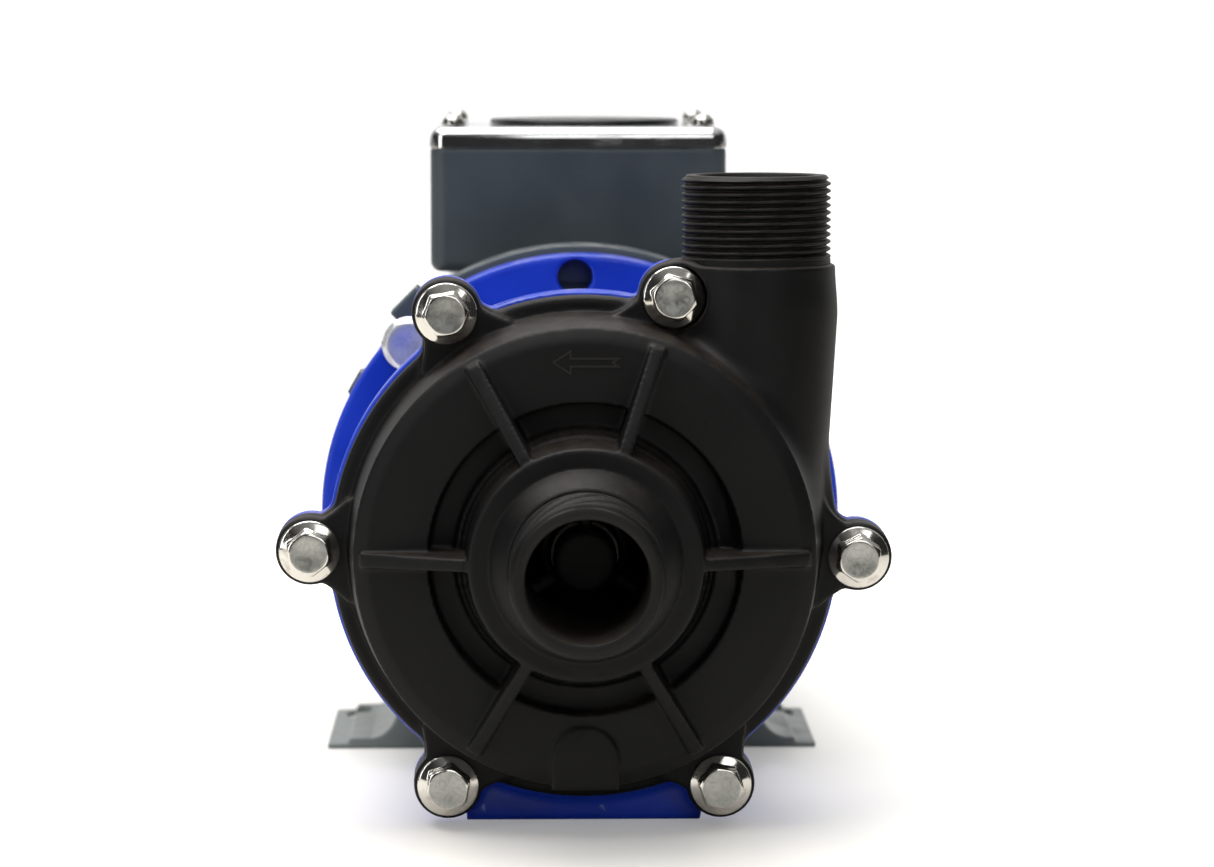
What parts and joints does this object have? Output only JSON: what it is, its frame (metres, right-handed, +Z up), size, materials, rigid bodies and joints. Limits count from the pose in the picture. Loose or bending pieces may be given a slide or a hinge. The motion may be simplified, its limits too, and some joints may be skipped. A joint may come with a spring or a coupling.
{
  "type": "pool pump",
  "caption": "Sealless magnetic-drive centrifugal pool pump: black moulded casing with threaded suction and discharge, blue motor adapter, foot-mounted electric motor with terminal box.",
  "frame": {"origin": "on the floor under the middle of the bounding box, shaft axis 90 mm above it", "axes": "+Y along the shaft from the suction nozzle towards the fan cowl, +Z up, +X on the discharge side"},
  "size_m": [0.1976, 0.42, 0.2253],
  "materials": {
    "casing_plastic": "glass-filled moulding, satin black",
    "can_plastic": "moulded plastic",
    "disc_plastic": "smooth black",
    "ceramic": "ground",
    "carbon": "carbon-filled, fine matte",
    "magnet": "nickel plated",
    "iron": "as machined",
    "steel": "ground steel",
    "bolt_stainless": "stainless, cold formed",
    "screw_steel": "plated screw",
    "copper": "varnished copper",
    "aluminium": "satin sheet",
    "rubber": "soft matte",
    "blue_paint": "semi-gloss paint over a casting",
    "slate_paint": "semi-gloss paint",
    "foot_paint": "worn gray paint",
    "polished_lid": "polished sheet"
  },
  "bodies": {
    "pump_body": {"front_casing": "casing_plastic", "casing_o_ring": "rubber", "containment_can": "can_plastic", "spindle": "ceramic", "front_thrust_ring": "ceramic", "rear_thrust_ring": "ceramic", "motor_adapter": "blue_paint", "front_end_shield": "slate_paint", "rear_end_shield": "slate_paint", "motor_frame": "slate_paint", "stator_core": "iron", "front_winding": "copper", "rear_winding": "copper", "fan_cowl": "slate_paint", "foot_left": "foot_paint", "foot_right": "foot_paint", "rating_plate": "aluminium", "terminal_box": "slate_paint", "box_gasket": "rubber", "box_lid": "polished_lid", "lid_disc": "disc_plastic", "terminal_block": "can_plastic", "cable_gland": "can_plastic", "casing_bolt_1": "bolt_stainless", "casing_bolt_2": "bolt_stainless", "casing_bolt_3": "bolt_stainless", "casing_bolt_4": "bolt_stainless", "casing_bolt_5": "bolt_stainless", "casing_bolt_6": "bolt_stainless", "adapter_bolt_1": "bolt_stainless", "lid_screw_1": "screw_steel", "adapter_bolt_2": "bolt_stainless", "lid_screw_2": "screw_steel", "adapter_bolt_3": "bolt_stainless", "lid_screw_3": "screw_steel", "adapter_bolt_4": "bolt_stainless", "lid_screw_4": "screw_steel", "cowl_screw_1": "screw_steel", "cowl_screw_2": "screw_steel", "cowl_screw_3": "screw_steel", "front_bearing_outer": "steel", "rear_bearing_outer": "steel"},
    "rotor": {"motor_shaft": "steel", "shaft_key": "steel", "rotor_core": "iron", "front_bearing_inner": "steel", "rear_bearing_inner": "steel", "drive_hub": "iron", "drive_magnet_ring": "magnet", "hub_set_screw": "steel", "cooling_fan": "can_plastic"},
    "runner": {"impeller": "can_plastic", "impeller_shroud": "can_plastic", "mouth_ring": "carbon", "inner_magnet_capsule": "can_plastic", "inner_magnet_ring": "magnet", "impeller_bush": "carbon"},
    "front_cage": {"front_bearing_balls": "steel"},
    "rear_cage": {"rear_bearing_balls": "steel"}
  },
  "joints": [
    {"name": "rotor_spin", "type": "hinge", "parent": "pump_body", "child": "rotor", "pos_m": [0, 0.1, 0.09], "axis": [0, 1, 0], "continuous": true},
    {"name": "runner_spin", "type": "hinge", "parent": "pump_body", "child": "runner", "pos_m": [0, -0.105, 0.09], "axis": [0, 1, 0], "continuous": true},
    {"name": "front_cage_spin", "type": "hinge", "parent": "pump_body", "child": "front_cage", "pos_m": [0, -0.011, 0.09], "axis": [0, 1, 0], "continuous": true},
    {"name": "rear_cage_spin", "type": "hinge", "parent": "pump_body", "child": "rear_cage", "pos_m": [0, 0.153, 0.09], "axis": [0, 1, 0], "continuous": true}
  ],
  "couplings": [
    {"joint": "runner_spin", "follows": "rotor_spin", "ratio": 1},
    {"joint": "front_cage_spin", "follows": "rotor_spin", "ratio": 0.4424},
    {"joint": "rear_cage_spin", "follows": "rotor_spin", "ratio": 0.4424}
  ]
}
